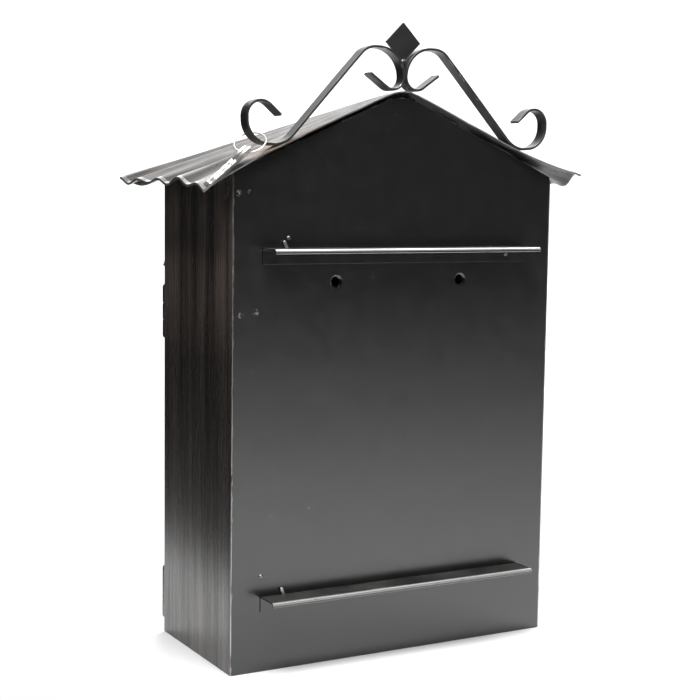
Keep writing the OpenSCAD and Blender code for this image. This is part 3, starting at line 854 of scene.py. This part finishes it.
def build_key(name, node, body, hole, along, facing):
    """A flat key whose hole is at the origin of its outline, with its blade along X."""
    length, thickness, relief_height = 43.0, 1.6, 0.08
    bow_x, bow_r, hole_r, around = 4.2, 9.2, 3.0, 44
    bow = circle_points(bow_x, 0.0, bow_r, around, 21.0, 339.0, closed=False)
    blade = [(12.9, -3.2), (17.5, -3.2), (17.9, -2.6), (length - 3, -2.6), (length, -0.3),
             (length - 2, 2.4), (length - 5, 0.9), (length - 8, 2.4), (length - 11.5, 0.6),
             (length - 14.5, 1.6), (length - 18, 0.9), (length - 21, 2.4), (17.9, 2.4),
             (17.5, 3.2), (12.9, 3.2)]
    lay = set_on(at(*hole), along, facing)

    def raised(level):
        return lambda u, v, w: lay @ Vector((u * MM, v * MM, w + level * MM))

    bm = fresh()
    plate(bm, bow + blade, [circle_points(0, 0, hole_r, 28)], raised(-thickness / 2),
          thickness * MM)
    soften(bm, 0.00022, 35.0)
    settle(name, bm, "nickel", body, [node])
    # the raised rim of the bow and the raised line along the blade, on both faces
    trim = fresh()
    rim, rim_hole = (circle_points(bow_x, 0.0, r, around) for r in (8.6, 6.9))
    bar = [(18.5, -1.9), (length - 4, -1.9), (length - 4, -1.2), (18.5, -1.2)]
    for level in (-thickness / 2 - relief_height, thickness / 2):
        plate(trim, rim, [rim_hole], raised(level), relief_height * MM)
        plate(trim, bar, [], raised(level), relief_height * MM)
    settle(name + "_trim", trim, "nickel", body)


def build_ring():
    """A split ring: two close coils of flattened wire with cut ends."""
    centre, turned, tipped = at(128.07, 2.99, 390.75), math.radians(46.4), math.radians(38.65)
    lay = (Matrix.Translation(centre) @ Matrix.Rotation(turned, 4, "Z")
           @ Matrix.Rotation(tipped, 4, "Y"))
    big, wire, turns, around = sizes().key_ring_radius, 0.00062, 2, 14
    bm = fresh()
    loops = []
    steps = 96 * turns
    for i in range(steps + 1):
        a = 2 * math.pi * turns * i / steps
        lift = (i / steps - 0.5) * wire
        loop = []
        for k in range(around):
            b = 2 * math.pi * k / around
            radius = big + wire * 0.95 * math.cos(b)
            loop.append(bm.verts.new(lay @ Vector((
                radius * math.cos(a), radius * math.sin(a), lift + wire * 0.5 * math.sin(b)))))
        loops.append(loop)
    for a, b in zip(loops, loops[1:]):
        for k in range(around):
            bm.faces.new((a[k], b[k], b[(k + 1) % around], a[(k + 1) % around]))
    bm.faces.new(loops[0])
    bm.faces.new(loops[-1][::-1])
    settle("key_ring_coil", bm, "nickel", "ring", ["key_ring"], smooth_angle=60.0)


# ---- operators --------------------------------------------------------------------------


class MAILBOX_OT_back(bpy.types.Operator):
    """Builds the back panel with its pressed screw holes"""

    bl_idname = "mailbox.back"
    bl_label = "Back panel"

    def execute(self, context):
        build_back_panel()
        return {"FINISHED"}


class MAILBOX_OT_case(bpy.types.Operator):
    """Dresses the sides, bottom and front frame of the box"""

    bl_idname = "mailbox.case"
    bl_label = "Case"

    def execute(self, context):
        for node in ("side_panel_left", "side_panel_right", "front_frame", "bottom_panel"):
            dress(node, "brushed_brown", "box")
        return {"FINISHED"}


class MAILBOX_OT_roof(bpy.types.Operator):
    """Builds the fluted roof and dresses the tabs that carry it"""

    bl_idname = "mailbox.roof"
    bl_label = "Roof"

    def execute(self, context):
        build_roof()
        dress("roof_tabs", "satin_black", "box")
        return {"FINISHED"}


class MAILBOX_OT_ornament(bpy.types.Operator):
    """Builds the two scrolls, the diamond plate and its rivet"""

    bl_idname = "mailbox.ornament"
    bl_label = "Scroll ornament"

    def execute(self, context):
        build_scroll("scroll_bar_left", 1, "scroll_left")
        build_scroll("scroll_bar_right", -1, "scroll_right")
        build_diamond()
        return {"FINISHED"}


class MAILBOX_OT_rails(bpy.types.Operator):
    """Builds the two stand-off rails and dresses their rivets"""

    bl_idname = "mailbox.rails"
    bl_label = "Rails"

    def execute(self, context):
        build_rail("rail_shelf_upper", "rail_upper", RAIL_UPPER_Z, rub=0.9)
        build_rail("rail_shelf_lower", "rail_lower", RAIL_LOWER_Z, rub=0.3)
        dress("rail_rivets", "zinc_steel", "box", SMALL_EDGE)
        return {"FINISHED"}


class MAILBOX_OT_flap(bpy.types.Operator):
    """Dresses the letter flap, its rod and its brackets"""

    bl_idname = "mailbox.flap"
    bl_label = "Letter flap"

    def execute(self, context):
        dress("letter_flap", "brushed_brown", "flap")
        dress("flap_rod", "zinc_steel", "box", SMALL_EDGE)
        dress("flap_brackets", "satin_black", "box")
        return {"FINISHED"}


class MAILBOX_OT_door(bpy.types.Operator):
    """Dresses the door and its two hinges"""

    bl_idname = "mailbox.door"
    bl_label = "Door and hinges"

    def execute(self, context):
        dress("door_panel", "brushed_brown", "door", DOOR_EDGE)
        for node in ("hinge_door_leaf_upper", "hinge_door_leaf_lower", "hinge_rivets_door"):
            dress(node, "zinc_steel", "door", SMALL_EDGE)
        for node in ("hinge_frame_leaf_upper", "hinge_frame_leaf_lower", "hinge_pins",
                     "hinge_rivets_frame"):
            dress(node, "zinc_steel", "box", SMALL_EDGE)
        return {"FINISHED"}


class MAILBOX_OT_lock(bpy.types.Operator):
    """Dresses the cam lock"""

    bl_idname = "mailbox.lock"
    bl_label = "Cam lock"

    def execute(self, context):
        dress("lock_barrel", "nickel", "door", MEDIUM_EDGE)
        dress("lock_nut", "zinc_steel", "door", MEDIUM_EDGE)
        dress("lock_plug", "nickel", "lock_core", TINY_EDGE)
        dress("lock_cam", "zinc_steel", "lock_core", SMALL_EDGE)
        dress("cam_screw", "zinc_steel", "lock_core", SMALL_EDGE)
        return {"FINISHED"}


class MAILBOX_OT_keys(bpy.types.Operator):
    """Builds the split ring and the two keys"""

    bl_idname = "mailbox.keys"
    bl_label = "Keys"

    def execute(self, context):
        build_ring()
        build_key("key_plate_upper", "key_upper", "first_key", hole=(136.28, 7.24, 383.75),
                  along=(0.792, 0.274, -0.545), facing=(0.608, -0.424, 0.671))
        build_key("key_plate_lower", "key_lower", "second_key", hole=(134.33, 9.54, 383.51),
                  along=(0.795, 0.22, -0.566), facing=(0.602, -0.4, 0.691))
        return {"FINISHED"}


def pale_ground():
    """Floor that sweeps up into a backdrop on the door's side."""
    bm = bmesh.new()
    bend, base = BACKDROP_BEND, -HOLE_Z * MM
    foot = BACKDROP_Y + bend
    line = [(FLOOR_Y, base), (foot, base)]
    line += [(foot + bend * math.sin(math.radians(-a)),
              base + bend - bend * math.cos(math.radians(a))) for a in range(10, 91, 10)]
    line += [(BACKDROP_Y, BACKDROP_TOP)]
    sides = [[bm.verts.new((x, y, z)) for y, z in line] for x in FLOOR_X]
    for i in range(len(line) - 1):
        bm.faces.new((sides[0][i], sides[1][i], sides[1][i + 1], sides[0][i + 1]))
    for face in bm.faces:
        face.smooth = True
    mesh = bpy.data.meshes.new("floor")
    bm.to_mesh(mesh)
    bm.free()
    material, tree, shader, vector = start_material("Pale floor")
    grain = use(tree, "grain", Vector=vector, Fine=30.0, Broad=0.6)
    pale = colours().floor
    tone = blend_colour(tree, remap(tree, (grain, "Mottle"), 0.2, 0.8), pale,
                        tuple(c * 0.98 for c in pale))
    feed(tree, tone, shader.inputs["Base Color"])
    shader.inputs["Roughness"].default_value = 0.95
    shader.inputs["Specular IOR Level"].default_value = 0.1
    mesh.materials.append(material)
    floor = bpy.data.objects.new("floor", mesh)
    bpy.context.scene.collection.objects.link(floor)


def soft_light(name, where, target, width, height, power):
    """A rectangular lamp at where that faces target, with its power in watts."""
    data = bpy.data.lights.new(name, "AREA")
    data.shape = "RECTANGLE"
    data.size, data.size_y, data.energy = width, height, power
    lamp = bpy.data.objects.new(name, data)
    bpy.context.scene.collection.objects.link(lamp)
    lamp.location = where
    aim = Vector(target) - Vector(where)
    lamp.rotation_euler = aim.to_track_quat("-Z", "Y").to_euler()
    lamp.visible_camera = False


class MAILBOX_OT_stage(bpy.types.Operator):
    """Sets the pale floor, the soft lights and the camera"""

    bl_idname = "mailbox.stage"
    bl_label = "Stage"

    def execute(self, context):
        scene = context.scene
        pale_ground()
        soft_light("overhead", where=(0.28, 0.42, 0.85), target=(0.28, 0.42, -0.3),
                   width=0.7, height=0.7, power=24.0)
        soft_light("rim", where=(-0.8, 0.1, 1.35), target=(0, 0, 0),
                   width=0.8, height=0.8, power=10.0)
        soft_light("backdrop", where=(-1.4, -1.2, 2.2), target=(-1.4, -2.2, 0.0),
                   width=2.2, height=1.0, power=120.0)
        world = bpy.data.worlds.new("Soft surround")
        world.use_nodes = True
        # the room round the lit floor is dim for the object, and pale where it is seen itself
        tree = world.node_tree
        dim = tree.nodes["Background"]
        dim.inputs["Color"].default_value = (1, 1, 1, 1)
        dim.inputs["Strength"].default_value = DIM_ROOM
        pale = put(tree, "ShaderNodeBackground", {"Color": (1, 1, 1, 1), "Strength": 1.0})
        seen = put(tree, "ShaderNodeLightPath")
        choice = put(tree, "ShaderNodeMixShader", {
            0: (seen, "Is Camera Ray"), 1: (dim, 0), 2: (pale, 0)})
        feed(tree, (choice, 0), tree.nodes["World Output"].inputs["Surface"])
        scene.world = world
        scene.view_settings.view_transform = "Standard"
        data = bpy.data.cameras.new("camera")
        data.sensor_width = SENSOR_WIDTH
        data.lens = CAMERA_LENS
        data.clip_start, data.clip_end = 0.01, 50.0
        camera = bpy.data.objects.new("camera", data)
        scene.collection.objects.link(camera)
        right, up = Vector(CAMERA_RIGHT), Vector(CAMERA_UP)
        turn = Matrix((right, up, right.cross(up))).transposed().to_4x4()
        camera.matrix_world = Matrix.Translation(CAMERA_AT) @ turn
        scene.camera = camera
        return {"FINISHED"}


class MAILBOX_PT_panel(bpy.types.Panel):
    """Lists the mailbox's pieces and settings"""

    bl_label = "Wall Mailbox"
    bl_idname = "MAILBOX_PT_panel"
    bl_space_type = "VIEW_3D"
    bl_region_type = "UI"
    bl_category = "Mailbox"

    def draw(self, context):
        column = self.layout.column()
        for group in (sizes(), colours()):
            for name in group.__annotations__:
                column.prop(group, name)
        for operator in BUILD_ORDER:
            column.operator(operator.bl_idname)


BUILD_ORDER = (
    MAILBOX_OT_back, MAILBOX_OT_case, MAILBOX_OT_roof, MAILBOX_OT_ornament, MAILBOX_OT_rails,
    MAILBOX_OT_flap, MAILBOX_OT_door, MAILBOX_OT_lock, MAILBOX_OT_keys, MAILBOX_OT_stage,
)
CLASSES = (MailboxSizes, MailboxColours, *BUILD_ORDER, MAILBOX_PT_panel)


def register():
    for cls in CLASSES:
        bpy.utils.register_class(cls)
    bpy.types.Scene.mailbox_sizes = PointerProperty(type=MailboxSizes)
    bpy.types.Scene.mailbox_colours = PointerProperty(type=MailboxColours)


def unregister():
    del bpy.types.Scene.mailbox_sizes
    del bpy.types.Scene.mailbox_colours
    for cls in reversed(CLASSES):
        bpy.utils.unregister_class(cls)


def main():
    register()
    for operator in BUILD_ORDER:
        family, name = operator.bl_idname.split(".")
        result = getattr(getattr(bpy.ops, family), name)()
        if "FINISHED" not in result:
            raise RuntimeError(operator.bl_label + " was not built")


if __name__ == "__main__":
    main()
